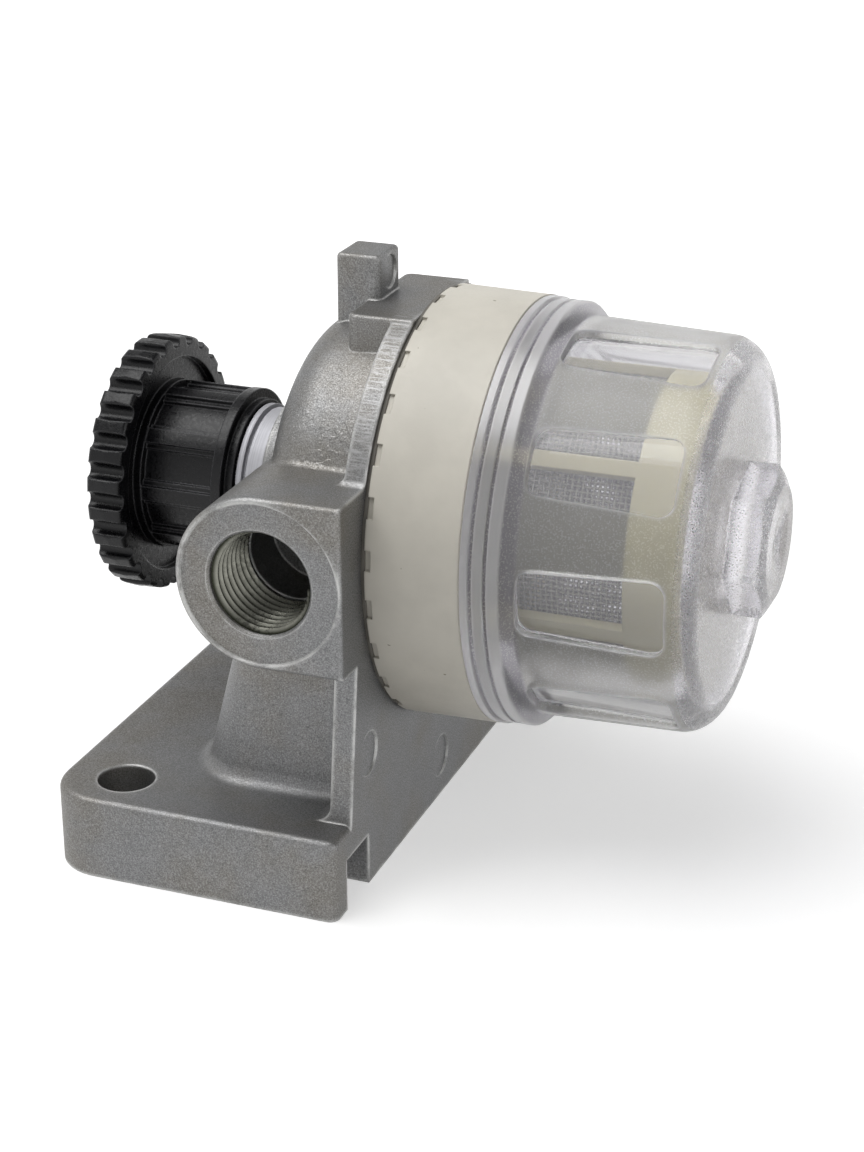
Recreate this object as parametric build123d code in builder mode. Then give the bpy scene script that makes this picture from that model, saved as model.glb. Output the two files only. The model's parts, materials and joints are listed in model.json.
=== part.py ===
"""Hand priming pump for diesel fuel, with a clear strainer bowl.

Millimetres, +Z up. The origin lies on the foot's bottom face, midway between the
two bolt holes. +X runs along the pump axis towards the bowl, and the inlet port
faces -Y.
"""

import math
import os

from build123d import *

os.makedirs("parts", exist_ok=True)

# Casting: overall places
axis_height = 52.0
face_x = 38.5
foot_left_x = -10.5
foot_width = 89.0
foot_thickness = 13.2
foot_corner = 8.5
foot_front_corner = 1.6
foot_edge_round = 1.2

# Foot: bolt holes and the cored slots at the front face
bolt_edge_margin = 8.5
bolt_hole_radius = 4.5
slot_wall = 4.5
slot_width = 8.6
slot_height = 8.4
slot_depth = 16.0

# Casting: web wall and column under the drum
wall_thickness = 3.5
wall_edge_margin = 5.6
wall_half_width_top = 34.2
column_left_base = 7.8
column_left_top = 14.4
column_edge_margin = 13.5
column_half_top = 26.0
column_corner = 9.0
column_top = 43.0
column_root_round = 2.5

# Casting: drum, flange, neck boss, pad and lug
drum_back_x = 19.0
drum_back_radius = 28.5
drum_radius = 29.5
drum_back_round = 7.5
flange_radius = 33.8
flange_width = 3.3
flat_height = 32.1
boss_end_x = 13.3
boss_radius = 13.2
pad_back_x = 28.0
pad_half_width = 12.4
pad_corner = 1.5
pad_edge_round = 0.6
lug_back_x = 23.0
lug_front_x = 30.2
lug_half_width = 4.2
lug_height = 38.9
lug_corner = 0.9
lug_edge_round = 0.7

# Shallow slanting marks that the casting die's pins leave
pin_mark_radius = 3.5
pin_mark_depth = 0.36
pin_mark_rise = 0.04
pin_mark_side_y = 31.0
pin_mark_side_z = 22.0
pin_mark_foot_z = 7.0
lug_mark_radius = 2.6
lug_mark_drop = 3.2

# Ports: blocks, spot faces and threads, one on each side
port_x = 25.6
port_drop = 0.7
port_face_y = 41.0
port_block_radius = 13.3
port_block_round = 0.9
port_root_round = 1.5
spot_radius = 12.5
spot_depth = 0.4
port_thread_radius = 8.0
port_thread_depth = 13.0
port_drill_radius = 7.2
port_mouth_chamfer = 0.4

# Passages inside the casting
chamber_radius = 10.0
inlet_floor_y = 19.5
feed_hole_y = 24.0
feed_hole_radius = 3.5
delivery_seat_y = 18.0
delivery_seat_radius = 3.5

# Fits
running_clearance = 0.05
seat_gap = 0.2
turning_gap = 0.3

# How far from a face or a size an edge may lie when edges are picked
pick_margin = 1.0
pick_tolerance = 0.01

# Rubber rings: corner rounding as a share of the smaller side
seal_round_share = 0.4

# Gasket and cream valve ring
gasket_thickness = 0.6
gasket_radius = 33.2
ring_length = 14.2
ring_rear_radius = 33.5
ring_front_radius = 33.2
gallery_depth = 3.5
gallery_inner_radius = 20.5
gallery_outer_radius = 27.5
web_thickness = 3.0
kidney_radius = 25.2
kidney_width = 1.6
kidney_count = 4
kidney_angle = 50.0
notch_count = 27
notch_width = 3.2
notch_length = 0.9
notch_depth = 0.5
notch_angle = 2.9
mouth_chamfer = 0.5

# Screws that hold the ring to the casting
screw_count = 4
screw_circle_radius = 15.5
screw_radius = 2.0
screw_depth = 10.0
screw_tip_gap = 2.0
screw_head_radius = 3.4
screw_head_height = 2.2
screw_socket_radius = 1.45
screw_socket_depth = 1.2
screw_hole_clearance = 0.2

# Suction valve in the middle of the ring
suction_hole_radius = 5.0
suction_disc_radius = 6.5
valve_disc_thickness = 1.5
valve_boss_height = 0.6
spring_wire_radius = 0.3
spring_pitch = 1.35
suction_spring_radius = 3.4
suction_cage_radius = 9.45
suction_cage_wall = 1.5
suction_cage_length = 6.1
cage_floor = 1.2
cage_hole_count = 6
suction_cage_hole_radius = 1.5
suction_cage_hole_place = 5.7
cage_centre_hole_radius = 1.5

# Delivery valve at the bottom of the outlet port
delivery_disc_radius = 5.6
delivery_spring_radius = 3.0
delivery_spring_length = 4.6
retainer_thickness = 2.4
retainer_hole_radius = 1.3
retainer_hole_place = 5.0

# Clear bowl
thread_ring_radius = 29.05
bowl_spigot_inner_radius = 26.0
seal_groove_radius = 27.4
seal_groove_length = 2.4
lip_radius = 33.1
lip_length = 1.1
collar_groove_radius = 32.2
collar_groove_length = 0.6
ridge_radius = 32.8
ridge_length = 1.6
shoulder_length = 1.8
shoulder_radius = 30.8
shoulder_round = 2.2
bowl_end_radius = 30.0
bowl_end_x = 86.5
bowl_end_round = 5.0
bowl_end_wall = 3.0
bowl_inner_end_radius = 25.6
bowl_inner_round = 2.0
pocket_count = 9
pocket_angle = 24.5
pocket_start_margin = 0.2
pocket_end_margin = 3.7
pocket_start_width = 10.0
pocket_end_width = 11.8
pocket_corner = 2.2
pocket_floor_radius = 29.0
hex_flats = 20.2
hex_height = 5.9
hex_chamfer = 1.5
hex_angle = 12.0
dimple_radius = 5.2
dimple_depth = 0.9

# Strainer in the bowl
strainer_collar_radius = 24.0
strainer_collar_length = 5.5
strainer_spigot_radius = 21.9
strainer_spigot_inner_radius = 20.4
strainer_spigot_length = 4.2
strainer_seal_thickness = 1.0
strainer_end_gap = 1.5
strainer_band_length = 6.7
strainer_end_wall = 1.5
strainer_wall = 1.5
strainer_rib_count = 6
strainer_rib_width = 2.4
strainer_rib_angle = 20.0
mesh_thickness = 0.4

# Barrel, with the threaded end that the knob screws onto
barrel_end_x = -7.0
barrel_inner_end_x = 20.0
barrel_thread_radius = 9.9
barrel_rim_radius = 11.5
barrel_rim_length = 0.9
barrel_groove_radius = 10.5
barrel_groove_length = 0.5
barrel_neck_radius = 11.0
barrel_root_radius = 9.9
barrel_bore_radius = 7.5
barrel_chamfer = 0.6
neck_seal_thickness = 1.0
neck_seal_radius = 11.3
bush_seat_radius = 8.2
bush_shoulder_x = -2.0
bush_length = 3.6
bush_seal_depth = 1.35
bush_seal_length = 1.7
circlip_thickness = 0.9
circlip_groove_radius = 8.9
circlip_inner_radius = 7.1
circlip_gap = 4.0

# Plunger: rod, piston and nut
rod_radius = 3.0
rod_end_radius = 2.5
piston_length = 7.0
piston_groove_radius = 5.7
piston_groove_length = 2.1
piston_groove_offset = 1.1
nut_flats = 8.0
nut_height = 2.9
nut_recess_radius = 4.9
nut_recess_depth = 3.1

# Knob
knob_end_x = -12.9
wheel_width = 5.8
wheel_tip_radius = 20.75
lobe_count = 27
lobe_angle = 12.9
lobe_crown = 0.2
valley_radius = 1.2
valley_depth = 1.65
lobe_corner_round = 0.6
lobe_end_round = 0.7
wheel_dish_radius = 17.4
wheel_dish_depth = 1.2
hub_end_x = 8.1
hub_radius = 12.3
hub_bore_clearance = 0.25
hub_rim_radius = 13.7
hub_rim_x = 5.2
hub_rim_length = 1.6
hub_end_radius = 12.1
hub_root_length = 1.4
bar_count = 9
bar_width = 2.4
bar_radius = 13.6
bar_frame_width = 3.9
bar_frame_radius = 12.9
bar_angle = 22.0
knob_wall_x = -7.8
knob_wall = 2.4
knob_recess_radius = 6.5
knob_washer_radius = 5.0
knob_washer_thickness = 0.8
knob_screw_radius = 1.5
knob_screw_head_radius = 2.9
knob_screw_head_height = 1.5
knob_screw_length = 6.0
knob_screw_tip_gap = 1.0
knob_screw_slot = 0.8

# Places that follow from the sizes above
bolt_spacing = foot_width - 2 * bolt_edge_margin
wall_half_width_foot = foot_width / 2 - wall_edge_margin
column_half_base = foot_width / 2 - column_edge_margin
port_height = axis_height - port_drop
ring_rear_x = face_x + gasket_thickness
ring_front_x = ring_rear_x + ring_length
web_rear_x = ring_rear_x + gallery_depth
web_front_x = web_rear_x + web_thickness
chamber_end_x = barrel_inner_end_x + turning_gap
collar_x = ring_front_x + seat_gap
bowl_thread_radius = thread_ring_radius - running_clearance
bowl_inner_end_x = bowl_end_x - bowl_end_wall
lip_end_x = collar_x + lip_length
first_ridge_x = lip_end_x + collar_groove_length
second_ridge_x = first_ridge_x + ridge_length + collar_groove_length
shoulder_x = second_ridge_x + ridge_length
pocket_start_x = shoulder_x + shoulder_length + pocket_start_margin
pocket_end_x = bowl_end_x - pocket_end_margin
hex_end_x = bowl_end_x + hex_height
hex_corner_radius = hex_flats / math.sqrt(3)
strainer_start_x = web_front_x + strainer_seal_thickness
strainer_end_x = bowl_inner_end_x - strainer_end_gap
strainer_inner_radius = strainer_collar_radius - strainer_wall
mesh_radius = strainer_inner_radius - running_clearance
barrel_rim_x = hub_end_x + turning_gap
neck_seat_x = boss_end_x + seat_gap
neck_recess_x = neck_seat_x + neck_seal_thickness
circlip_x = bush_shoulder_x - bush_length - circlip_thickness
piston_end_x = barrel_inner_end_x
piston_back_x = piston_end_x - piston_length
rod_shoulder_x = knob_wall_x + seat_gap
knob_wall_outer_x = knob_wall_x - knob_wall
rod_end_x = knob_wall_outer_x - seat_gap
knob_screw_head_x = rod_end_x - knob_washer_thickness
suction_disc_x = web_rear_x
suction_cage_floor_x = web_rear_x - suction_cage_length
delivery_spring_y = delivery_seat_y + seat_gap + valve_disc_thickness
retainer_y = delivery_spring_y + delivery_spring_length

pump_axis = Axis((0, 0, axis_height), (1, 0, 0))
port_axis = Axis((port_x, 0, port_height), (0, 1, 0))
lengthwise = Plane(origin=(0, 0, axis_height), x_dir=(1, 0, 0), z_dir=(0, -1, 0))
port_section = Plane(origin=(port_x, 0, port_height), x_dir=(0, 1, 0), z_dir=(1, 0, 0))


def across(x):
    """Plane square to the pump axis at x, seen from the bowl end."""
    return Plane(origin=(x, 0, axis_height), x_dir=(0, 1, 0), z_dir=(1, 0, 0))


def port_plane(side, y):
    """Plane square to the port axis at distance y on the given side."""
    return Plane(origin=(port_x, side * y, port_height), x_dir=(1, 0, 0), z_dir=(0, side, 0))


def half_section(*points):
    """Closed outline in the lengthwise plane, as (x, radius) points."""
    with BuildSketch(lengthwise) as outline:
        Polygon(*points, align=None)
    return outline.sketch


def port_half_section(*points):
    """Closed outline for a piece turned about the port axis, as (y, radius) points."""
    with BuildSketch(port_section) as outline:
        Polygon(*points, align=None)
    return outline.sketch


def hexagon(plane, flats, angle=0.0):
    """Hexagon across the given flats."""
    with BuildSketch(plane) as outline:
        RegularPolygon(flats / 2, 6, major_radius=False, rotation=angle)
    return outline.sketch


def save(piece, node):
    """Name a finished piece and write it to its own file."""
    piece.part.label = node
    export_step(piece.part, f"parts/{node}.step")


# Housing: one aluminium casting
with BuildPart() as housing:
    # Foot plate, well rounded at the two corners away from the bowl
    with BuildSketch() as foot_outline:
        with Locations(((face_x + foot_left_x) / 2, 0)):
            Rectangle(face_x - foot_left_x, foot_width)
        fillet(foot_outline.vertices().group_by(Axis.X)[0], foot_corner)
        fillet(foot_outline.vertices().group_by(Axis.X)[-1], foot_front_corner)
    extrude(amount=foot_thickness)
    foot_top = housing.faces().sort_by(Axis.Z)[-1]
    fillet(foot_top.edges(), foot_edge_round)

    # Tapered column behind the web wall
    column_sizes = [
        (foot_thickness - column_root_round, column_left_base, column_half_base),
        (column_top, column_left_top, column_half_top),
    ]
    for level, left_x, half_width in column_sizes:
        with BuildSketch(Plane.XY.offset(level)) as column_outline:
            with Locations(((face_x + left_x) / 2, 0)):
                Rectangle(face_x - left_x, 2 * half_width)
            fillet(column_outline.vertices().group_by(Axis.X)[0], column_corner)
    loft()

    # Web wall between foot and flange, flush with the front face
    with BuildSketch(Plane.YZ.offset(face_x)):
        Polygon(
            (-wall_half_width_foot, foot_thickness / 2),
            (wall_half_width_foot, foot_thickness / 2),
            (wall_half_width_top, axis_height - port_block_radius / 2),
            (-wall_half_width_top, axis_height - port_block_radius / 2),
            align=None,
        )
    extrude(amount=-wall_thickness)
    root_edges = housing.edges().filter_by_position(Axis.Z, foot_thickness, foot_thickness)
    root_edges = root_edges.filter_by(
        lambda e: column_left_base - column_root_round < e.center().X < face_x - pick_margin
    )
    root_edges = root_edges.filter_by(lambda e: abs(e.center().Y) < wall_half_width_foot)
    fillet(root_edges, column_root_round)

    # Drum and flange
    with BuildSketch(lengthwise) as drum_outline:
        Polygon(
            (drum_back_x, 0),
            (face_x, 0),
            (face_x, flange_radius),
            (face_x - flange_width, flange_radius),
            (face_x - flange_width, drum_radius),
            (drum_back_x, drum_back_radius),
            align=None,
        )
        fillet(
            drum_outline.vertices().sort_by_distance((drum_back_x, drum_back_radius, 0))[0],
            drum_back_round,
        )
    revolve(axis=pump_axis)
    with BuildSketch(Plane.XY.offset(axis_height + flat_height)):
        with Locations((face_x, 0)):
            Rectangle(2 * (face_x - drum_back_x), 2 * flange_radius)
    extrude(amount=flange_radius - flat_height, mode=Mode.SUBTRACT)

    # Port block through the drum: round towards the knob, square and flush at the front face
    with BuildSketch(port_plane(1, 0)):
        Circle(port_block_radius)
        with Locations(((face_x - port_x) / 2, 0)):
            Rectangle(face_x - port_x, 2 * port_block_radius)
        with Locations((face_x - port_x + port_block_radius / 2, 0)):
            Rectangle(port_block_radius, 2 * port_block_radius, mode=Mode.SUBTRACT)
    extrude(amount=port_face_y, both=True)
    port_roots = housing.edges().filter_by(
        lambda e: port_block_radius < abs(e.center().Y) < wall_half_width_top
        and e.center().X < face_x - pick_margin
        and 0 < e.center().Z - port_height < port_block_radius + port_root_round
    )
    fillet(port_roots, port_root_round)
    for y in (-port_face_y, port_face_y):
        fillet(housing.faces().filter_by_position(Axis.Y, y, y).edges(), port_block_round)

    # Boss for the neck, with the port block spot-faced around it
    with BuildSketch(across(boss_end_x)):
        Circle(boss_radius)
    extrude(amount=drum_back_x - boss_end_x + drum_back_round)
    with BuildSketch(across(boss_end_x)):
        Circle(boss_radius)
    extrude(amount=port_x - port_block_radius - boss_end_x, mode=Mode.SUBTRACT)

    # Machined pad and the lug behind it
    with BuildSketch(Plane.XY.offset(axis_height + drum_radius / 2)) as pad_outline:
        with Locations(((face_x + pad_back_x) / 2, 0)):
            Rectangle(face_x - pad_back_x, 2 * pad_half_width)
        fillet(pad_outline.vertices().group_by(Axis.X)[0], pad_corner)
    extrude(amount=flat_height - drum_radius / 2)
    pad_top = housing.faces().sort_by(Axis.Z)[-1]
    fillet(pad_top.edges().filter_by(lambda e: e.center().X < face_x - flange_width), pad_edge_round)
    with BuildSketch(Plane.XY.offset(axis_height + drum_radius / 2)):
        with Locations(((lug_back_x + lug_front_x) / 2, 0)):
            RectangleRounded(lug_front_x - lug_back_x, 2 * lug_half_width, lug_corner)
    extrude(amount=lug_height - drum_radius / 2)
    lug_top = housing.faces().sort_by(Axis.Z)[-1]
    fillet(lug_top.edges(), lug_edge_round)

    # Marks of the casting die's pins, each deepest at one side
    pin_mark_places = [
        (face_x, -pin_mark_side_y, pin_mark_side_z, pin_mark_radius),
        (face_x, pin_mark_side_y, pin_mark_side_z, pin_mark_radius),
        (face_x, 0, pin_mark_foot_z, pin_mark_radius),
        (lug_front_x, 0, axis_height + lug_height - lug_mark_drop, lug_mark_radius),
    ]
    for x, y, z, radius in pin_mark_places:
        lean = (pin_mark_depth + pin_mark_rise) / (2 * radius)
        middle = x - (pin_mark_depth - pin_mark_rise) / 2
        with BuildSketch(Plane(origin=(middle, y, z), x_dir=(-lean, 1, 0), z_dir=(1, lean, 0))):
            Circle(radius)
        extrude(amount=pin_mark_depth, mode=Mode.SUBTRACT)

    # Bolt holes and the cored slots
    with GridLocations(0, bolt_spacing, 1, 2):
        with Locations((0, 0, foot_thickness)):
            Hole(bolt_hole_radius, foot_thickness)
    slot_y = foot_width / 2 - slot_wall - slot_width / 2
    with BuildSketch():
        with Locations((face_x - slot_depth / 2, slot_y), (face_x - slot_depth / 2, -slot_y)):
            Rectangle(slot_depth, slot_width)
    extrude(amount=slot_height, mode=Mode.SUBTRACT)

    # Ports: spot face, threaded length, drill and floor
    for side, floor_y in ((-1, inlet_floor_y), (1, delivery_seat_y)):
        with BuildSketch(port_plane(side, port_face_y)):
            Circle(spot_radius)
        extrude(amount=-spot_depth, mode=Mode.SUBTRACT)
        with Locations(port_plane(side, port_face_y)):
            Hole(port_thread_radius, spot_depth + port_thread_depth)
            Hole(port_drill_radius, port_face_y - floor_y)
    mouths = housing.edges().filter_by(GeomType.CIRCLE)
    mouths = mouths.filter_by(lambda e: abs(e.radius - port_thread_radius) < pick_tolerance)
    mouths = mouths.filter_by(lambda e: abs(e.center().Y) > port_face_y - pick_margin)
    chamfer(mouths, port_mouth_chamfer)

    # Pump chamber, barrel bore and the passages between them
    with Locations(across(face_x)):
        Hole(chamber_radius, face_x - chamber_end_x)
        with PolarLocations(screw_circle_radius, screw_count, start_angle=45):
            Hole(screw_radius + running_clearance, screw_depth + screw_tip_gap)
    with BuildSketch(across(boss_end_x)):
        Circle(barrel_root_radius + running_clearance)
    extrude(amount=chamber_end_x - boss_end_x, mode=Mode.SUBTRACT)
    with BuildSketch(across(boss_end_x)):
        Circle(neck_seal_radius + running_clearance)
    extrude(amount=neck_recess_x - boss_end_x, mode=Mode.SUBTRACT)
    with BuildSketch(across(face_x)):
        with Locations((-feed_hole_y, 0)):
            Circle(feed_hole_radius)
    extrude(amount=port_x - face_x, mode=Mode.SUBTRACT)
    with BuildSketch(port_plane(1, delivery_seat_y)):
        Circle(delivery_seat_radius)
    extrude(amount=-delivery_seat_y, mode=Mode.SUBTRACT)

save(housing, "housing")


# Flange gasket between casting and ring
with BuildPart() as flange_gasket:
    with BuildSketch(across(face_x)):
        Circle(gasket_radius)
        Circle(chamber_radius, mode=Mode.SUBTRACT)
        with Locations((-feed_hole_y, 0)):
            Circle(feed_hole_radius, mode=Mode.SUBTRACT)
        with PolarLocations(screw_circle_radius, screw_count, start_angle=45):
            Circle(screw_radius + screw_hole_clearance, mode=Mode.SUBTRACT)
    extrude(amount=gasket_thickness)

save(flange_gasket, "flange_gasket")


# Cream moulded ring: gallery at the back, bowl thread and strainer spigot at the front
with BuildPart() as valve_ring:
    valve_bore_radius = suction_cage_radius + running_clearance
    revolve(
        half_section(
            (ring_rear_x, valve_bore_radius),
            (ring_rear_x, gallery_inner_radius),
            (web_rear_x, gallery_inner_radius),
            (web_rear_x, gallery_outer_radius),
            (ring_rear_x, gallery_outer_radius),
            (ring_rear_x, ring_rear_radius),
            (ring_front_x, ring_front_radius),
            (ring_front_x, thread_ring_radius + mouth_chamfer),
            (ring_front_x - mouth_chamfer, thread_ring_radius),
            (web_front_x, thread_ring_radius),
            (web_front_x, strainer_spigot_radius),
            (web_front_x + strainer_spigot_length, strainer_spigot_radius),
            (web_front_x + strainer_spigot_length, strainer_spigot_inner_radius),
            (web_front_x, strainer_spigot_inner_radius),
            (web_front_x, suction_hole_radius),
            (web_rear_x, suction_hole_radius),
            (web_rear_x, valve_bore_radius),
        ),
        axis=pump_axis,
    )
    with BuildSketch(across(web_rear_x)):
        for k in range(kidney_count):
            middle = 360 / kidney_count * k
            SlotArc(CenterArc((0, 0), kidney_radius, middle - kidney_angle / 2, kidney_angle), kidney_width)
        with PolarLocations(screw_circle_radius, screw_count, start_angle=45):
            Circle(screw_radius + screw_hole_clearance)
    extrude(amount=web_thickness, mode=Mode.SUBTRACT)
    with BuildSketch(across(ring_rear_x)):
        with PolarLocations(screw_circle_radius, screw_count, start_angle=45):
            Circle(screw_radius + screw_hole_clearance)
    extrude(amount=gallery_depth, mode=Mode.SUBTRACT)
    with BuildSketch(across(ring_rear_x)):
        with PolarLocations(ring_rear_radius, notch_count, start_angle=notch_angle):
            Rectangle(2 * notch_depth, notch_width)
    extrude(amount=notch_length, mode=Mode.SUBTRACT)

save(valve_ring, "valve_ring")


# Screws through the ring's web into the casting
with BuildPart() as ring_screws:
    with BuildSketch(across(web_front_x)):
        with PolarLocations(screw_circle_radius, screw_count, start_angle=45):
            Circle(screw_head_radius)
    extrude(amount=screw_head_height)
    with BuildSketch(across(web_front_x)):
        with PolarLocations(screw_circle_radius, screw_count, start_angle=45):
            Circle(screw_radius)
    extrude(amount=face_x - screw_depth - web_front_x)
    with BuildSketch(across(web_front_x + screw_head_height)):
        with PolarLocations(screw_circle_radius, screw_count, start_angle=45):
            RegularPolygon(screw_socket_radius, 6)
    extrude(amount=-screw_socket_depth, mode=Mode.SUBTRACT)

save(ring_screws, "ring_screws")


# Suction valve: disc on the web's rear face, spring and pressed cage
with BuildPart() as suction_valve_disc:
    disc_rear_x = suction_disc_x - seat_gap - valve_disc_thickness
    boss_radius = suction_spring_radius - spring_wire_radius - running_clearance
    revolve(
        half_section(
            (suction_disc_x - seat_gap, 0),
            (suction_disc_x - seat_gap, suction_disc_radius),
            (disc_rear_x, suction_disc_radius),
            (disc_rear_x, boss_radius),
            (disc_rear_x - valve_boss_height, boss_radius),
            (disc_rear_x - valve_boss_height, 0),
        ),
        axis=pump_axis,
    )

save(suction_valve_disc, "suction_valve_disc")

with BuildPart() as suction_valve_cage:
    cage_inner_radius = suction_cage_radius - suction_cage_wall
    revolve(
        half_section(
            (suction_cage_floor_x, 0),
            (suction_cage_floor_x, suction_cage_radius),
            (web_rear_x, suction_cage_radius),
            (web_rear_x, cage_inner_radius),
            (suction_cage_floor_x + cage_floor, cage_inner_radius),
            (suction_cage_floor_x + cage_floor, 0),
        ),
        axis=pump_axis,
    )
    with Locations(across(suction_cage_floor_x + cage_floor)):
        Hole(cage_centre_hole_radius, cage_floor)
        with PolarLocations(suction_cage_hole_place, cage_hole_count):
            Hole(suction_cage_hole_radius, cage_floor)

save(suction_valve_cage, "suction_valve_cage")


def coil(start, direction, length, radius):
    """Compression spring of round wire that fills the given length."""
    rise = length - 2 * spring_wire_radius
    first = Vector(start) + Vector(direction) * spring_wire_radius
    with BuildPart() as spring:
        with BuildLine() as path:
            Helix(spring_pitch, rise, radius, center=first, direction=direction)
        with BuildSketch(Plane(origin=path.line @ 0, z_dir=path.line % 0)):
            RegularPolygon(spring_wire_radius, 6)
        sweep(path=path.line, is_frenet=True)
    return spring


suction_spring_length = disc_rear_x - suction_cage_floor_x - cage_floor
suction_valve_spring = coil(
    (suction_cage_floor_x + cage_floor, 0, axis_height),
    (1, 0, 0),
    suction_spring_length,
    suction_spring_radius,
)
save(suction_valve_spring, "suction_valve_spring")


# Delivery valve: disc over the seat hole, spring and pressed retainer
with BuildPart() as delivery_valve_disc:
    disc_y = delivery_seat_y + seat_gap
    boss_radius = delivery_spring_radius - spring_wire_radius - running_clearance
    revolve(
        port_half_section(
            (disc_y, 0),
            (disc_y, delivery_disc_radius),
            (delivery_spring_y, delivery_disc_radius),
            (delivery_spring_y, boss_radius),
            (delivery_spring_y + valve_boss_height, boss_radius),
            (delivery_spring_y + valve_boss_height, 0),
        ),
        axis=port_axis,
    )

save(delivery_valve_disc, "delivery_valve_disc")

delivery_valve_spring = coil(
    (port_x, delivery_spring_y, port_height),
    (0, 1, 0),
    delivery_spring_length,
    delivery_spring_radius,
)
save(delivery_valve_spring, "delivery_valve_spring")

with BuildPart() as delivery_valve_retainer:
    with BuildSketch(port_plane(1, retainer_y)):
        Circle(port_drill_radius - running_clearance)
        Circle(cage_centre_hole_radius, mode=Mode.SUBTRACT)
        with PolarLocations(retainer_hole_place, cage_hole_count):
            Circle(retainer_hole_radius, mode=Mode.SUBTRACT)
    extrude(amount=retainer_thickness)

save(delivery_valve_retainer, "delivery_valve_retainer")


# Bowl: clear moulding with thread, ribbed collar, nine windows and a hexagon
with BuildPart() as pocket_tool:
    with BuildSketch(Plane.XY.offset(pocket_floor_radius / 2)) as pocket_outline:
        Polygon(
            (pocket_start_x, -pocket_start_width / 2),
            (pocket_end_x, -pocket_end_width / 2),
            (pocket_end_x, pocket_end_width / 2),
            (pocket_start_x, pocket_start_width / 2),
            align=None,
        )
        fillet(pocket_outline.vertices(), pocket_corner)
    extrude(amount=pocket_floor_radius)
    with BuildSketch(Plane.YZ.offset(pocket_start_x)):
        Circle(pocket_floor_radius)
    extrude(amount=pocket_end_x - pocket_start_x, mode=Mode.SUBTRACT)

with BuildPart() as bowl:
    with BuildSketch(lengthwise) as bowl_outline:
        Polygon(
            (web_front_x + turning_gap, bowl_spigot_inner_radius),
            (web_front_x + turning_gap, bowl_thread_radius),
            (collar_x - seal_groove_length, bowl_thread_radius),
            (collar_x - seal_groove_length, seal_groove_radius),
            (collar_x, seal_groove_radius),
            (collar_x, lip_radius),
            (lip_end_x, lip_radius),
            (lip_end_x, collar_groove_radius),
            (first_ridge_x, collar_groove_radius),
            (first_ridge_x, ridge_radius),
            (first_ridge_x + ridge_length, ridge_radius),
            (first_ridge_x + ridge_length, collar_groove_radius),
            (second_ridge_x, collar_groove_radius),
            (second_ridge_x, ridge_radius),
            (shoulder_x, ridge_radius),
            (shoulder_x + shoulder_length, shoulder_radius),
            (bowl_end_x, bowl_end_radius),
            (bowl_end_x, 0),
            (bowl_inner_end_x, 0),
            (bowl_inner_end_x, bowl_inner_end_radius),
            align=None,
        )
        corners = bowl_outline.vertices()
        fillet(corners.sort_by_distance((bowl_end_x, bowl_end_radius, 0))[0], bowl_end_round)
        fillet(
            corners.sort_by_distance((bowl_inner_end_x, bowl_inner_end_radius, 0))[0],
            bowl_inner_round,
        )
        fillet(corners.sort_by_distance((shoulder_x, ridge_radius, 0))[0], shoulder_round)
    revolve(axis=pump_axis)
    for k in range(pocket_count):
        turn = pocket_angle - 90 + 360 / pocket_count * k
        with Locations(Location((0, 0, axis_height), (turn, 0, 0))):
            add(pocket_tool.part, mode=Mode.SUBTRACT)
    extrude(hexagon(across(bowl_end_x), hex_flats, hex_angle), amount=hex_height)
    revolve(
        half_section(
            (hex_end_x - hex_chamfer, hex_corner_radius + hex_chamfer),
            (hex_end_x - hex_chamfer, hex_flats / 2 + hex_chamfer),
            (hex_end_x, hex_flats / 2 - hex_chamfer),
            (hex_end_x, hex_corner_radius + hex_chamfer),
        ),
        axis=pump_axis,
        mode=Mode.SUBTRACT,
    )
    revolve(
        half_section(
            (hex_end_x, 0),
            (hex_end_x - dimple_depth, 0),
            (hex_end_x, dimple_radius),
        ),
        axis=pump_axis,
        mode=Mode.SUBTRACT,
    )

save(bowl, "bowl")


def seal_ring(x, length, inner_radius, outer_radius):
    """Round-edged rubber ring about the pump axis."""
    height = outer_radius - inner_radius
    with BuildPart() as seal:
        with BuildSketch(lengthwise):
            with Locations((x + length / 2, (inner_radius + outer_radius) / 2)):
                RectangleRounded(length, height, seal_round_share * min(length, height))
        revolve(axis=pump_axis)
    return seal


bowl_seal = seal_ring(
    collar_x - seal_groove_length + seat_gap,
    seal_groove_length - 2 * seat_gap,
    seal_groove_radius + running_clearance,
    bowl_thread_radius,
)
save(bowl_seal, "bowl_seal")


# Strainer: moulded cage with ribs, mesh sleeve inside it, flat seal behind it
with BuildPart() as strainer_cage:
    collar_end_x = strainer_start_x + strainer_collar_length
    band_x = strainer_end_x - strainer_band_length
    revolve(
        half_section(
            (strainer_start_x, strainer_spigot_radius + running_clearance),
            (strainer_start_x, strainer_collar_radius),
            (strainer_end_x, strainer_collar_radius),
            (strainer_end_x, 0),
            (strainer_end_x - strainer_end_wall, 0),
            (strainer_end_x - strainer_end_wall, strainer_inner_radius),
            (collar_end_x, strainer_inner_radius),
            (collar_end_x, strainer_spigot_radius + running_clearance),
        ),
        axis=pump_axis,
    )
    with BuildSketch(across(collar_end_x)):
        Circle(strainer_collar_radius + strainer_wall)
        Circle(strainer_inner_radius - strainer_wall / 2, mode=Mode.SUBTRACT)
        with PolarLocations(strainer_inner_radius, strainer_rib_count, start_angle=strainer_rib_angle):
            Rectangle(4 * strainer_wall, strainer_rib_width, mode=Mode.SUBTRACT)
    extrude(amount=band_x - collar_end_x, mode=Mode.SUBTRACT)

save(strainer_cage, "strainer_cage")

with BuildPart() as strainer_mesh:
    with BuildSketch(across(collar_end_x + running_clearance)):
        Circle(mesh_radius)
        Circle(mesh_radius - mesh_thickness, mode=Mode.SUBTRACT)
    extrude(amount=band_x + strainer_band_length / 2 - collar_end_x)

save(strainer_mesh, "strainer_mesh")

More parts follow.
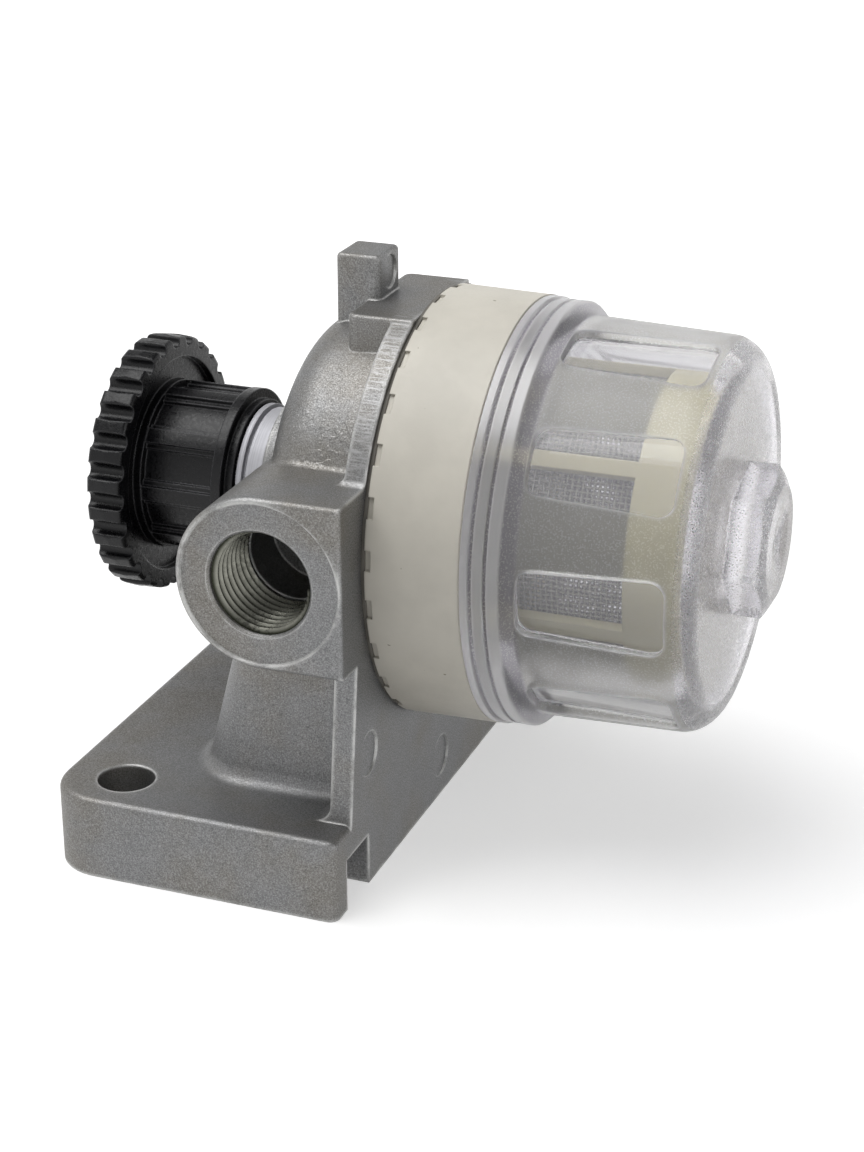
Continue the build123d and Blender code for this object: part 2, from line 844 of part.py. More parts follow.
strainer_seal = seal_ring(
    web_front_x,
    strainer_seal_thickness,
    strainer_spigot_radius + running_clearance,
    strainer_collar_radius,
)
save(strainer_seal, "strainer_seal")


# Barrel: turned aluminium, screwed into the casting, threaded outside for the knob
with BuildPart() as barrel:
    revolve(
        half_section(
            (barrel_end_x, bush_seat_radius),
            (barrel_end_x, barrel_thread_radius - barrel_chamfer),
            (barrel_end_x + barrel_chamfer, barrel_thread_radius),
            (barrel_rim_x, barrel_thread_radius),
            (barrel_rim_x, barrel_rim_radius),
            (barrel_rim_x + barrel_rim_length, barrel_rim_radius),
            (barrel_rim_x + barrel_rim_length, barrel_groove_radius),
            (barrel_rim_x + barrel_rim_length + barrel_groove_length, barrel_groove_radius),
            (barrel_rim_x + barrel_rim_length + barrel_groove_length, barrel_neck_radius),
            (neck_seat_x, barrel_neck_radius),
            (neck_seat_x, barrel_root_radius),
            (barrel_inner_end_x, barrel_root_radius),
            (barrel_inner_end_x, barrel_bore_radius),
            (bush_shoulder_x, barrel_bore_radius),
            (bush_shoulder_x, bush_seat_radius),
            (circlip_x + circlip_thickness, bush_seat_radius),
            (circlip_x + circlip_thickness, circlip_groove_radius),
            (circlip_x - running_clearance, circlip_groove_radius),
            (circlip_x - running_clearance, bush_seat_radius),
        ),
        axis=pump_axis,
    )

save(barrel, "barrel")

barrel_seal = seal_ring(
    neck_seat_x,
    neck_seal_thickness,
    barrel_root_radius + running_clearance,
    neck_seal_radius,
)
save(barrel_seal, "barrel_seal")

with BuildPart() as rod_bush:
    bush_x = bush_shoulder_x - bush_length
    bush_groove_x = bush_x + (bush_length - bush_seal_length) / 2
    bush_bore_radius = rod_radius + running_clearance
    revolve(
        half_section(
            (bush_x, bush_bore_radius),
            (bush_x, bush_seat_radius - running_clearance),
            (bush_shoulder_x, bush_seat_radius - running_clearance),
            (bush_shoulder_x, bush_bore_radius),
            (bush_groove_x + bush_seal_length, bush_bore_radius),
            (bush_groove_x + bush_seal_length, bush_bore_radius + bush_seal_depth),
            (bush_groove_x, bush_bore_radius + bush_seal_depth),
            (bush_groove_x, bush_bore_radius),
        ),
        axis=pump_axis,
    )

save(rod_bush, "rod_bush")

rod_seal = seal_ring(
    bush_groove_x + seat_gap / 2,
    bush_seal_length - seat_gap,
    bush_bore_radius,
    bush_bore_radius + bush_seal_depth - running_clearance,
)
save(rod_seal, "rod_seal")

with BuildPart() as bush_circlip:
    with BuildSketch(across(circlip_x)):
        Circle(circlip_groove_radius - running_clearance)
        Circle(circlip_inner_radius, mode=Mode.SUBTRACT)
        with Locations((0, -circlip_inner_radius)):
            Rectangle(circlip_gap, 2 * (circlip_groove_radius - circlip_inner_radius), mode=Mode.SUBTRACT)
    extrude(amount=circlip_thickness - running_clearance)

save(bush_circlip, "bush_circlip")


# Plunger: rod, piston with its seal, and the nut that holds them
with BuildPart() as plunger_rod:
    revolve(
        half_section(
            (rod_end_x, 0),
            (rod_end_x, rod_end_radius),
            (rod_shoulder_x, rod_end_radius),
            (rod_shoulder_x, rod_radius),
            (piston_back_x, rod_radius),
            (piston_back_x, rod_end_radius),
            (piston_end_x, rod_end_radius),
            (piston_end_x, 0),
        ),
        axis=pump_axis,
    )
    with Locations(Plane(across(rod_end_x).origin, x_dir=(0, 1, 0), z_dir=(-1, 0, 0))):
        Hole(knob_screw_radius + running_clearance, knob_screw_length + knob_screw_tip_gap)

save(plunger_rod, "plunger_rod")

with BuildPart() as piston:
    groove_x = piston_back_x + piston_groove_offset
    revolve(
        half_section(
            (piston_back_x, rod_end_radius + running_clearance),
            (piston_back_x, barrel_bore_radius - running_clearance),
            (groove_x, barrel_bore_radius - running_clearance),
            (groove_x, piston_groove_radius),
            (groove_x + piston_groove_length, piston_groove_radius),
            (groove_x + piston_groove_length, barrel_bore_radius - running_clearance),
            (piston_end_x, barrel_bore_radius - running_clearance),
            (piston_end_x, nut_recess_radius),
            (piston_end_x - nut_recess_depth, nut_recess_radius),
            (piston_end_x - nut_recess_depth, rod_end_radius + running_clearance),
        ),
        axis=pump_axis,
    )

save(piston, "piston")

piston_seal = seal_ring(
    groove_x + seat_gap / 2,
    piston_groove_length - seat_gap,
    piston_groove_radius + running_clearance,
    barrel_bore_radius - running_clearance,
)
save(piston_seal, "piston_seal")

with BuildPart() as piston_nut:
    nut_x = piston_end_x - nut_recess_depth
    extrude(hexagon(across(nut_x), nut_flats), amount=nut_height)
    with Locations(across(nut_x + nut_height)):
        Hole(rod_end_radius + running_clearance, nut_height)

save(piston_nut, "piston_nut")


# Knob: lobed wheel and barred hub, with the thread bore open towards the pump
with BuildPart() as knob:
    wheel_front_x = knob_end_x + wheel_width
    wheel_floor_x = wheel_front_x - wheel_dish_depth
    valley_place = wheel_tip_radius - valley_depth + valley_radius
    valley_angle = lobe_angle + 180 / lobe_count
    with BuildSketch(across(knob_end_x)) as wheel_outline:
        Circle(wheel_tip_radius)
        with PolarLocations(valley_place, lobe_count, start_angle=valley_angle):
            Circle(valley_radius, mode=Mode.SUBTRACT)
        fillet(wheel_outline.vertices(), lobe_corner_round)
    extrude(amount=wheel_width)
    with BuildSketch(lengthwise) as wheel_section:
        Polygon(
            (knob_end_x, 0),
            (knob_end_x, wheel_tip_radius - lobe_crown),
            (knob_end_x + wheel_width / 2, wheel_tip_radius),
            (wheel_front_x, wheel_tip_radius - lobe_crown),
            (wheel_front_x, wheel_dish_radius),
            (wheel_floor_x, wheel_dish_radius),
            (wheel_floor_x, 0),
            align=None,
        )
        fillet(wheel_section.vertices().group_by(Axis.Y)[-2], lobe_end_round)
    revolve(axis=pump_axis, mode=Mode.INTERSECT)
    revolve(
        half_section(
            (knob_end_x, 0),
            (knob_end_x, hub_radius),
            (wheel_floor_x, hub_radius),
            (wheel_floor_x, hub_rim_radius),
            (wheel_floor_x + hub_root_length, hub_rim_radius),
            (wheel_floor_x + hub_root_length, hub_radius),
            (hub_rim_x, hub_radius),
            (hub_rim_x, hub_rim_radius),
            (hub_rim_x + hub_rim_length, hub_rim_radius),
            (hub_rim_x + hub_rim_length, hub_end_radius),
            (hub_end_x, hub_end_radius),
            (hub_end_x, 0),
        ),
        axis=pump_axis,
    )
    for radius, width in ((bar_frame_radius, bar_frame_width), (bar_radius, bar_width)):
        with BuildSketch(across(wheel_floor_x)):
            with PolarLocations(0, bar_count, start_angle=bar_angle):
                with Locations((radius / 2, 0)):
                    Rectangle(radius, width)
            Circle(radius, mode=Mode.INTERSECT)
        extrude(amount=hub_rim_x - wheel_floor_x)
    with BuildSketch(across(hub_end_x)):
        Circle(barrel_thread_radius + hub_bore_clearance)
    extrude(amount=knob_wall_x - hub_end_x, mode=Mode.SUBTRACT)
    with BuildSketch(across(knob_wall_x)):
        Circle(rod_end_radius + running_clearance)
    extrude(amount=-knob_wall, mode=Mode.SUBTRACT)
    with BuildSketch(across(knob_wall_outer_x)):
        Circle(knob_recess_radius)
    extrude(amount=knob_end_x - knob_wall_outer_x, mode=Mode.SUBTRACT)

save(knob, "knob")

with BuildPart() as knob_washer:
    with BuildSketch(across(rod_end_x)):
        Circle(knob_washer_radius)
        Circle(knob_screw_radius + running_clearance, mode=Mode.SUBTRACT)
    extrude(amount=-knob_washer_thickness)

save(knob_washer, "knob_washer")

with BuildPart() as knob_screw:
    with BuildSketch(across(knob_screw_head_x)):
        Circle(knob_screw_head_radius)
    extrude(amount=-knob_screw_head_height)
    with BuildSketch(across(knob_screw_head_x)):
        Circle(knob_screw_radius)
    extrude(amount=knob_washer_thickness + knob_screw_length)
    with BuildSketch(across(knob_screw_head_x - knob_screw_head_height)):
        Rectangle(2 * knob_screw_head_radius, knob_screw_slot)
    extrude(amount=knob_screw_head_height / 2, mode=Mode.SUBTRACT)

save(knob_screw, "knob_screw")
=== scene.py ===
"""Looks of a hand fuel priming pump: cast body, cream ring, clear strainer bowl, black knob.

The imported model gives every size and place. Lengths are in metres, and a size in
millimetres is written as a number times MM.
"""

import json
from math import cos, hypot, radians, sin, tau

import bpy
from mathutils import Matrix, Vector


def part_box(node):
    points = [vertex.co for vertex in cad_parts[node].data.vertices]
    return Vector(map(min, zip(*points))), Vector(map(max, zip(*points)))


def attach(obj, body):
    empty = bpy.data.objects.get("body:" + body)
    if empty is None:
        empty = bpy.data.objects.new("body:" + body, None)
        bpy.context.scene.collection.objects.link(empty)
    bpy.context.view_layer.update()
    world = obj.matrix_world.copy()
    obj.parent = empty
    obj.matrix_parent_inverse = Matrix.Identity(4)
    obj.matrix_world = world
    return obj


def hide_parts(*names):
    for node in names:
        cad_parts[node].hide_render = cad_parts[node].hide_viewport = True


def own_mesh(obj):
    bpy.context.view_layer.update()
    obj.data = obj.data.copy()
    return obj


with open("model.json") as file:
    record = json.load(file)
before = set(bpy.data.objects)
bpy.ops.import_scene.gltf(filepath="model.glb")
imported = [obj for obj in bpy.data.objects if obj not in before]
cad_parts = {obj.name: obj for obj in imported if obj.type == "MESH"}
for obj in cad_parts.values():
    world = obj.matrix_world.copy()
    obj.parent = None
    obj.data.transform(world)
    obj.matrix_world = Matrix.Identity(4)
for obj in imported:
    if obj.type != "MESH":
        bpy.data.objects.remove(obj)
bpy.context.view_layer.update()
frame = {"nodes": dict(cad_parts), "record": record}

MM = 0.001

# View of the photograph
camera_azimuth = radians(20.6)
camera_elevation = radians(22.7)
camera_distance = 382 * MM
camera_target = Vector((37.0, 0.0, 38.5)) * MM
camera_lens = 75.2
camera_clip_start = 10 * MM

# Studio: light of the room, and how bright its ceiling looks in reflections. The ceiling
# darkens between two heights, given as the Z of a direction.
room_strength = 0.16
ceiling_strength = 0.12
ceiling_begins = 0.34
ceiling_full = 0.8

# White floor, which glows more away from the pump
floor_size = 4
near_floor = 100 * MM
far_floor = 500 * MM
near_floor_glow = 0.52
far_floor_glow = 0.9

# Places on the pump
axis_height = 52 * MM
port_x = 25.6 * MM
port_height = 51.3 * MM

# Cast body: flange rim with file strokes, and drum with dents in its skin
rim_radius = 33.8 * MM
rim_fade = 0.3 * MM
flange_back_x = 35.2 * MM
flange_face_x = 38.5 * MM
flange_face_fade = 0.05 * MM
drum_radius = 29.5 * MM
dents_top = 76 * MM
dents_fade = 10 * MM

# Thread in each port
thread_mouth_y = 40.2 * MM
thread_pitch = 1.5 * MM
thread_turns = 8
thread_root_radius = 7.95 * MM
thread_crest_radius = 7.25 * MM
thread_backing_radius = 8.04 * MM
thread_crest_half_width = 0.12 * MM
thread_root_half_width = 0.7 * MM
thread_steps = 64

# Clear bowl: where its surface is frosted, and where its collar has ridges
window_floor_radius = 29.0 * MM
land_radius = 29.5 * MM
bowl_end_start = 83.6 * MM
collar_end = 60.6 * MM
collar_groove_radius = 32.3 * MM
collar_ridge_radius = 32.8 * MM

# Wire of the strainer mesh
wire_radius = 0.22 * MM
wire_bend = 0.09 * MM
wire_pitch = 0.82 * MM
wire_sides = 4

# Layout of the strainer mesh, from the plain sleeve that it replaces
sleeve_low, sleeve_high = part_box("strainer_mesh")
mesh_start = sleeve_low[0]
mesh_length = sleeve_high[0] - sleeve_low[0]
mesh_radius = (sleeve_high[1] - sleeve_low[1]) / 2
weave_radius = mesh_radius - wire_radius - wire_bend
hoop_count = 2 * round(mesh_length / wire_pitch / 2)
hoop_pitch = mesh_length / hoop_count
wire_pair_count = round(tau * weave_radius / wire_pitch / 2)

# Valve springs
spring_wire_radius = 0.3 * MM
spring_wire_sides = 8
spring_pitch = 1.35 * MM
spring_steps = 64
suction_coil_radius = 3.4 * MM
delivery_coil_radius = 3.0 * MM


# Mesh helpers
def deselect_all():
    bpy.ops.object.select_all(action="DESELECT")


def select_only(piece):
    deselect_all()
    piece.select_set(True)
    bpy.context.view_layer.objects.active = piece


def apply_modifier(piece, modifier):
    select_only(piece)
    bpy.ops.object.modifier_apply(modifier=modifier.name)


def repeat_along_pump(piece, step, count, merge_ends=False):
    """Repeat a piece at equal steps along the pump."""
    repeat = piece.modifiers.new("repeat", "ARRAY")
    repeat.use_relative_offset = False
    repeat.use_constant_offset = True
    repeat.constant_offset_displace = (step, 0, 0)
    repeat.count = count
    repeat.use_merge_vertices = merge_ends
    repeat.merge_threshold = wire_radius / 20
    apply_modifier(piece, repeat)


def close_open_ends(piece, sides):
    """Fill the open ring at each end of a wire or thread."""
    select_only(piece)
    bpy.ops.object.mode_set(mode="EDIT")
    bpy.ops.mesh.select_mode(type="VERT")
    bpy.ops.mesh.select_all(action="DESELECT")
    bpy.ops.mesh.select_non_manifold()
    bpy.ops.mesh.fill_holes(sides=sides)
    bpy.ops.object.mode_set(mode="OBJECT")


def join_to(piece, others):
    """Join other pieces to the first one."""
    select_only(piece)
    for other in others:
        other.select_set(True)
    bpy.ops.object.join()


def finish_piece(piece, name, material, body, smooth_angle=40):
    """Put the place in the mesh, smooth the faces and hand the piece to its body."""
    select_only(piece)
    bpy.ops.object.transform_apply(location=True, rotation=True, scale=True)
    bpy.ops.object.mode_set(mode="EDIT")
    bpy.ops.mesh.select_all(action="SELECT")
    bpy.ops.mesh.normals_make_consistent(inside=False)
    bpy.ops.object.mode_set(mode="OBJECT")
    bpy.ops.object.shade_smooth_by_angle(angle=radians(smooth_angle))
    piece.name = name
    piece.data.materials.clear()
    piece.data.materials.append(material)
    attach(piece, body)


# Shader helpers
def add_node(tree, kind, **values):
    """New shader node; keyword values set its properties."""
    node = tree.nodes.new(kind)
    for name, value in values.items():
        setattr(node, name, value)
    return node


def math_node(tree, operation, first, second, clamp=False):
    """Math node whose inputs are sockets or numbers; gives its output socket."""
    node = add_node(tree, "ShaderNodeMath", operation=operation, use_clamp=clamp)
    for socket, value in zip(node.inputs, (first, second)):
        if isinstance(value, (int, float)):
            socket.default_value = value
        else:
            tree.links.new(value, socket)
    return node.outputs[0]


def multiply(tree, product, *factors):
    """Product of sockets and numbers."""
    for factor in factors:
        product = math_node(tree, "MULTIPLY", product, factor)
    return product


def mix_colour(tree, factor, first, second):
    """Mix two colours; each input is a socket or a value."""
    node = add_node(tree, "ShaderNodeMix", data_type="RGBA")
    for name, value in (("Factor", factor), ("A", first), ("B", second)):
        socket = [s for s in node.inputs if s.name == name and s.enabled][0]
        if isinstance(value, bpy.types.NodeSocket):
            tree.links.new(value, socket)
        else:
            socket.default_value = value
    return [s for s in node.outputs if s.enabled][0]


def ramp(tree, value, low, high, low_out=0.0, high_out=1.0):
    """Smooth step of a socket from low..high to low_out..high_out."""
    node = add_node(tree, "ShaderNodeMapRange", interpolation_type="SMOOTHSTEP")
    tree.links.new(value, node.inputs["Value"])
    node.inputs["From Min"].default_value = low
    node.inputs["From Max"].default_value = high
    node.inputs["To Min"].default_value = low_out
    node.inputs["To Max"].default_value = high_out
    return node.outputs["Result"]


def object_place(tree):
    """Place on the pump: Object coordinates, which are the same for every piece."""
    return add_node(tree, "ShaderNodeTexCoord").outputs["Object"]


def split_axes(tree, vector):
    """X, Y and Z of a vector, as the outputs of one node."""
    axes = add_node(tree, "ShaderNodeSeparateXYZ")
    tree.links.new(vector, axes.inputs["Vector"])
    return axes.outputs


def distance_from_line(tree, place, centre, keep):
    """Distance of a place from a line through centre; keep drops the line's own axis."""
    offset = add_node(tree, "ShaderNodeVectorMath", operation="SUBTRACT")
    tree.links.new(place, offset.inputs[0])
    offset.inputs[1].default_value = centre
    flat = add_node(tree, "ShaderNodeVectorMath", operation="MULTIPLY")
    tree.links.new(offset.outputs["Vector"], flat.inputs[0])
    flat.inputs[1].default_value = keep
    length = add_node(tree, "ShaderNodeVectorMath", operation="LENGTH")
    tree.links.new(flat.outputs["Vector"], length.inputs[0])
    return length.outputs["Value"]


def distance_from_pump_axis(tree, place):
    return distance_from_line(tree, place, centre=(0, 0, axis_height), keep=(0, 1, 1))


def noise(tree, scale, detail, roughness, vector=None):
    """Noise over Object coordinates, or over the vector given."""
    node = add_node(tree, "ShaderNodeTexNoise")
    node.inputs["Scale"].default_value = scale
    node.inputs["Detail"].default_value = detail
    node.inputs["Roughness"].default_value = roughness
    if vector is None:
        vector = object_place(tree)
    tree.links.new(vector, node.inputs["Vector"])
    return node.outputs["Fac"]


def stretched_noise(tree, scales, roughness):
    """Noise with its own scale along X, Y and Z, for file strokes and turned rings."""
    stretch = add_node(tree, "ShaderNodeMapping")
    stretch.inputs["Scale"].default_value = scales
    tree.links.new(object_place(tree), stretch.inputs["Vector"])
    stretched = stretch.outputs["Vector"]
    return noise(tree, scale=1, detail=2, roughness=roughness, vector=stretched)


def bump(tree, height, strength, distance, normal):
    """Bump node; distance is in metres."""
    node = add_node(tree, "ShaderNodeBump")
    node.inputs["Strength"].default_value = strength
    node.inputs["Distance"].default_value = distance
    tree.links.new(height, node.inputs["Height"])
    tree.links.new(normal, node.inputs["Normal"])
    return node.outputs["Normal"]


def new_material(name, base, roughness, metallic=0.0):
    """Material with one Principled shader; gives the material, its tree and the shader."""
    material = bpy.data.materials.new(name)
    material.use_nodes = True
    tree = material.node_tree
    shader = tree.nodes["Principled BSDF"]
    shader.inputs["Base Color"].default_value = (*base, 1.0)
    shader.inputs["Roughness"].default_value = roughness
    shader.inputs["Metallic"].default_value = metallic
    return material, tree, shader


# Shared effect: rounded edges and a mask of them
def make_edge_group():
    """Edge is 0 where the rounded normal agrees with the face, and 1 where it leans away."""
    edge_begins = 0.985
    edge_full = 0.86
    group = bpy.data.node_groups.new("soft edges", "ShaderNodeTree")
    face = group.interface
    radius = face.new_socket(name="Radius", in_out="INPUT", socket_type="NodeSocketFloat")
    radius.default_value = 0.4 * MM
    face.new_socket(name="Normal", in_out="OUTPUT", socket_type="NodeSocketVector")
    face.new_socket(name="Edge", in_out="OUTPUT", socket_type="NodeSocketFloat")
    group_in = add_node(group, "NodeGroupInput")
    group_out = add_node(group, "NodeGroupOutput")
    round_edge = add_node(group, "ShaderNodeBevel", samples=6)
    group.links.new(group_in.outputs["Radius"], round_edge.inputs["Radius"])
    geometry = add_node(group, "ShaderNodeNewGeometry")
    agreement = add_node(group, "ShaderNodeVectorMath", operation="DOT_PRODUCT")
    group.links.new(round_edge.outputs["Normal"], agreement.inputs[0])
    group.links.new(geometry.outputs["Normal"], agreement.inputs[1])
    edge = ramp(group, agreement.outputs["Value"], edge_begins, edge_full)
    group.links.new(round_edge.outputs["Normal"], group_out.inputs["Normal"])
    group.links.new(edge, group_out.inputs["Edge"])
    return group


edge_group = make_edge_group()


def soft_edges(tree, radius):
    """Rounded-edge normal and edge mask for a material."""
    node = add_node(tree, "ShaderNodeGroup", node_tree=edge_group)
    node.inputs["Radius"].default_value = radius
    return node.outputs["Normal"], node.outputs["Edge"]


# Shared effect: outward corners and fillets, found by how thin the piece is behind the surface
def make_corner_group():
    """Corner grows where more of the rays sent into the piece soon meet another face."""
    corner_begins = 0.86
    corner_full = 0.5
    group = bpy.data.node_groups.new("outward corners", "ShaderNodeTree")
    face = group.interface
    width = face.new_socket(name="Width", in_out="INPUT", socket_type="NodeSocketFloat")
    width.default_value = 1.0 * MM
    face.new_socket(name="Corner", in_out="OUTPUT", socket_type="NodeSocketFloat")
    group_in = add_node(group, "NodeGroupInput")
    group_out = add_node(group, "NodeGroupOutput")
    inward = add_node(
        group, "ShaderNodeAmbientOcclusion", samples=5, inside=True, only_local=True
    )
    group.links.new(group_in.outputs["Width"], inward.inputs["Distance"])
    corner = ramp(group, inward.outputs["AO"], corner_begins, corner_full)
    group.links.new(corner, group_out.inputs["Corner"])
    return group


corner_group = make_corner_group()


def outward_corners(tree, width):
    """Mask of outward corners for a material; width is in metres."""
    node = add_node(tree, "ShaderNodeGroup", node_tree=corner_group)
    node.inputs["Width"].default_value = width
    return node.outputs["Corner"]


# Finishes
def flange_rim(tree, reach, along):
    """1 on the outer face of the flange rim, 0 on the rest of the casting."""
    far_enough_out = ramp(tree, reach, rim_radius - 2 * rim_fade, rim_radius - rim_fade)
    not_beyond = ramp(tree, reach, rim_radius + 2 * rim_fade, rim_radius + rim_fade)
    past_back = ramp(tree, along, flange_back_x - rim_fade, flange_back_x)
    before_face = ramp(tree, along, flange_face_x - flange_face_fade, flange_face_x - rim_fade)
    return multiply(tree, far_enough_out, not_beyond, past_back, before_face)


def drum_dents(tree, reach, height):
    """Patches of shallow dents low on the drum, where the die skin was rough."""
    dents = ramp(tree, noise(tree, scale=950, detail=1, roughness=0.5), 0.44, 0.58)
    patches = ramp(tree, noise(tree, scale=75, detail=2, roughness=0.5), 0.38, 0.52)
    on_drum = ramp(tree, reach, drum_radius + 1.0 * MM, drum_radius + 0.4 * MM)
    low_part = ramp(tree, height, dents_top, dents_top - dents_fade)
    return multiply(tree, dents, patches, on_drum, low_part)


def make_cast_aluminium():
    """Dull die casting: fine blasted grain, faint warm stains, worn edges lightened further as a
    painted highlight.
    """
    warm_tone = (0.192, 0.182, 0.165, 1)
    cool_tone = (0.2, 0.202, 0.205, 1)
    cloud_tone = (0.25, 0.25, 0.25, 1)
    bright_grain = (0.4, 0.4, 0.4, 1)
    dark_grain = (0.08, 0.08, 0.078, 1)
    pit_tone = (0.07, 0.07, 0.068, 1)
    # worn edges: real wear, brightened into a painted highlight
    worn_and_highlight_tone = (0.58, 0.58, 0.57, 1)
    filed_tone = (0.34, 0.34, 0.34, 1)

    material, tree, shader = new_material("cast aluminium", (0.2, 0.2, 0.195), 0.5, 0.8)
    place = object_place(tree)
    axes = split_axes(tree, place)
    reach = distance_from_pump_axis(tree, place)
    normal, edge = soft_edges(tree, 0.6 * MM)
    stains = noise(tree, scale=45, detail=4, roughness=0.6)
    cloud = noise(tree, scale=240, detail=4, roughness=0.65)
    grain = noise(tree, scale=4600, detail=1, roughness=0.6)
    pits = noise(tree, scale=1500, detail=2, roughness=0.6)

    # skin of the casting
    tone = mix_colour(tree, ramp(tree, stains, 0.38, 0.62), warm_tone, cool_tone)
    tone = mix_colour(tree, ramp(tree, cloud, 0.42, 0.72, 0, 0.3), tone, cloud_tone)
    tone = mix_colour(tree, ramp(tree, grain, 0.45, 0.75, 0, 0.45), tone, bright_grain)
    tone = mix_colour(tree, ramp(tree, grain, 0.46, 0.28, 0, 0.45), tone, dark_grain)
    tone = mix_colour(tree, ramp(tree, pits, 0.32, 0.24, 0, 0.5), tone, pit_tone)

    # worn edges and corners, lightened past real wear as a painted highlight
    corner = math_node(tree, "MAXIMUM", edge, outward_corners(tree, 0.85 * MM))
    wear_and_highlight = multiply(tree, corner, ramp(tree, cloud, 0.36, 0.58, 0.35, 1.0))
    tone = mix_colour(tree, wear_and_highlight, tone, worn_and_highlight_tone)

    # file strokes along the pump on the flange rim
    rim = flange_rim(tree, reach, axes["X"])
    strokes = stretched_noise(tree, (350, 2600, 2600), 0.6)
    filed = multiply(tree, rim, ramp(tree, strokes, 0.42, 0.65, 0, 0.8))
    tone = mix_colour(tree, filed, tone, filed_tone)
    tree.links.new(tone, shader.inputs["Base Color"])

    # high spots of the grain are smoother
    rough = ramp(tree, grain, 0.3, 0.7, 0.56, 0.42)
    tree.links.new(rough, shader.inputs["Roughness"])

    # relief of grain, strokes and pits, then the dents on the drum
    height = math_node(tree, "ADD", grain, multiply(tree, strokes, rim))
    height = math_node(tree, "ADD", height, multiply(tree, pits, 0.8))
    normal = bump(tree, height, strength=0.4, distance=0.06 * MM, normal=normal)
    dents = drum_dents(tree, reach, axes["Z"])
    normal = bump(tree, dents, strength=0.6, distance=0.09 * MM, normal=normal)
    tree.links.new(normal, shader.inputs["Normal"])
    return material


def make_cut_thread():
    """Cut thread: metal crests, darkening towards the roots as painted shade."""
    crest_tone = (0.22, 0.22, 0.19, 1)
    painted_shade_tone = (0.02, 0.022, 0.014, 1)
    material, tree, shader = new_material("cut thread", (0.3, 0.3, 0.28), 0.28, 1.0)
    place = object_place(tree)
    reach = distance_from_line(tree, place, centre=(port_x, 0, port_height), keep=(1, 0, 1))
    # darker towards the roots: painted shade in the thread
    depth = ramp(tree, reach, thread_crest_radius + 0.1 * MM, thread_root_radius)
    tone = mix_colour(tree, depth, crest_tone, painted_shade_tone)
    tree.links.new(tone, shader.inputs["Base Color"])
    fine = noise(tree, scale=1500, detail=2, roughness=0.5)
    tree.links.new(ramp(tree, fine, 0.3, 0.7, 0.2, 0.42), shader.inputs["Roughness"])
    return material


def make_turned_aluminium():
    """Turned neck: fine rings around the pump axis, and a painted highlight along its edges."""
    dull_tone = (0.42, 0.42, 0.44, 1)
    bright_tone = (0.58, 0.58, 0.61, 1)
    edge_highlight_tone = (0.75, 0.75, 0.78, 1)
    material, tree, shader = new_material("turned aluminium", (0.6, 0.6, 0.62), 0.3, 1.0)
    normal, edge = soft_edges(tree, 0.25 * MM)
    rings = stretched_noise(tree, (5000, 15, 15), 0.5)
    cloud = noise(tree, scale=300, detail=3, roughness=0.6)
    tone = mix_colour(tree, cloud, dull_tone, bright_tone)
    # painted highlight along the rounded edges
    tone = mix_colour(tree, edge, tone, edge_highlight_tone)
    tree.links.new(tone, shader.inputs["Base Color"])
    tree.links.new(ramp(tree, rings, 0.3, 0.7, 0.64, 0.8), shader.inputs["Roughness"])
    normal = bump(tree, rings, strength=0.2, distance=0.02 * MM, normal=normal)
    tree.links.new(normal, shader.inputs["Normal"])
    return material


def make_moulded(
    name,
    base,
    roughness,
    speck=None,
    grain=0.15,
    edge_highlight_tone=None,
    edge_radius=0.3 * MM,
    gloss=0.5,
):
    """Moulded plastic or rubber: faint tone changes, fine grain, soft edges, and an optional
    painted highlight along the edges.
    """
    material, tree, shader = new_material(name, base, roughness)
    shader.inputs["Specular IOR Level"].default_value = gloss
    normal, edge = soft_edges(tree, edge_radius)
    patches = noise(tree, scale=60, detail=4, roughness=0.6)
    darker = tuple(0.9 * c for c in base)
    tone = mix_colour(tree, ramp(tree, patches, 0.35, 0.65), (*darker, 1), (*base, 1))
    if speck is not None:
        dots = noise(tree, scale=900, detail=1, roughness=0.5)
        tone = mix_colour(tree, ramp(tree, dots, 0.79, 0.83), tone, (*speck, 1))
    # painted highlight along the rounded edges
    if edge_highlight_tone is not None:
        tone = mix_colour(tree, edge, tone, (*edge_highlight_tone, 1))
    tree.links.new(tone, shader.inputs["Base Color"])
    fine = noise(tree, scale=1900, detail=3, roughness=0.65)
    rough = ramp(tree, fine, 0.3, 0.7, roughness - 0.08, roughness + 0.08)
    tree.links.new(rough, shader.inputs["Roughness"])
    normal = bump(tree, fine, strength=grain, distance=0.06 * MM, normal=normal)
    tree.links.new(normal, shader.inputs["Normal"])
    return material


def let_lamps_through(tree, shader, tint):
    """Lamp light passes the clear plastic, tinted a little, and lights what is inside."""
    path = add_node(tree, "ShaderNodeLightPath")
    passing = add_node(tree, "ShaderNodeBsdfTransparent")
    passing.inputs["Color"].default_value = tint
    either = add_node(tree, "ShaderNodeMixShader")
    tree.links.new(path.outputs["Is Shadow Ray"], either.inputs[0])
    tree.links.new(shader.outputs["BSDF"], either.inputs[1])
    tree.links.new(passing.outputs["BSDF"], either.inputs[2])
    tree.links.new(either.outputs["Shader"], tree.nodes["Material Output"].inputs["Surface"])


